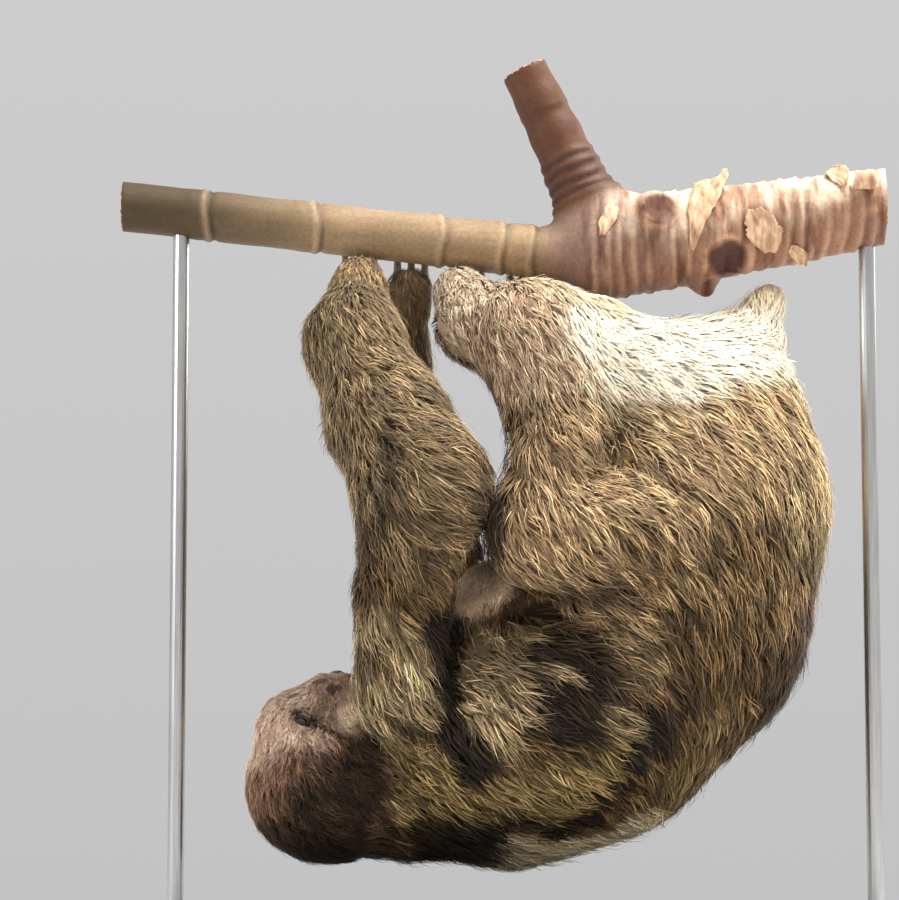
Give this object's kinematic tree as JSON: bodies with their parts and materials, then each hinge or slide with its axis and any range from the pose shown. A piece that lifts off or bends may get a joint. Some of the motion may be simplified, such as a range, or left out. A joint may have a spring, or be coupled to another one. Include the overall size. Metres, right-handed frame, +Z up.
{
  "type": "three-toed sloth",
  "caption": "Life-size three-toed sloth hanging curled under a cut length of branch, held over a flat display base by upright rods.",
  "frame": {"origin": "middle of the underside of the stand's base, on the floor", "axes": "+Z up; +X along the branch from the sloth's head end to its rump end; -Y is the side of the sloth's right limbs"},
  "size_m": [0.54, 0.336, 0.5985],
  "materials": {
    "coat": "long coarse shaggy hair in tufts, tan to grey-brown, cream on the rump, yellow and dark brown bands on the shoulders and back",
    "nose_skin": "bare dark pebbled nose skin, slightly moist",
    "eye": "glossy dark brown eye under a clear coat",
    "claw": "smooth horn, yellow-brown with darker streaks along it",
    "branch": "young bark, greyish tan at the thin end to red-brown at the thick end, with ring scars and peeling flakes",
    "stand_base": "flat dark satin lacquer with softened edges",
    "stand_rod": "plain satin steel"
  },
  "bodies": {
    "root": {"trunk_chest": "coat", "trunk_belly": "coat", "trunk_hips": "coat", "tail": "coat", "neck": "coat", "arm_right_upper": "coat", "arm_right_fore": "coat", "hand_right": "coat", "arm_left_upper": "coat", "arm_left_fore": "coat", "hand_left": "coat", "leg_right_thigh": "coat", "leg_right_shank": "coat", "foot_right": "coat", "leg_left_thigh": "coat", "leg_left_shank": "coat", "foot_left": "coat", "eye_right": "eye", "eye_left": "eye", "nose": "nose_skin", "head": "coat", "hand_right_claw_1": "claw", "hand_right_claw_2": "claw", "hand_right_claw_3": "claw", "hand_left_claw_1": "claw", "hand_left_claw_2": "claw", "hand_left_claw_3": "claw", "foot_right_claw_1": "claw", "foot_right_claw_2": "claw", "foot_right_claw_3": "claw", "foot_left_claw_1": "claw", "foot_left_claw_2": "claw", "foot_left_claw_3": "claw", "perch_branch": "branch", "stand_base": "stand_base", "stand_rod_left": "stand_rod", "stand_rod_right": "stand_rod"}
  },
  "joints": []
}
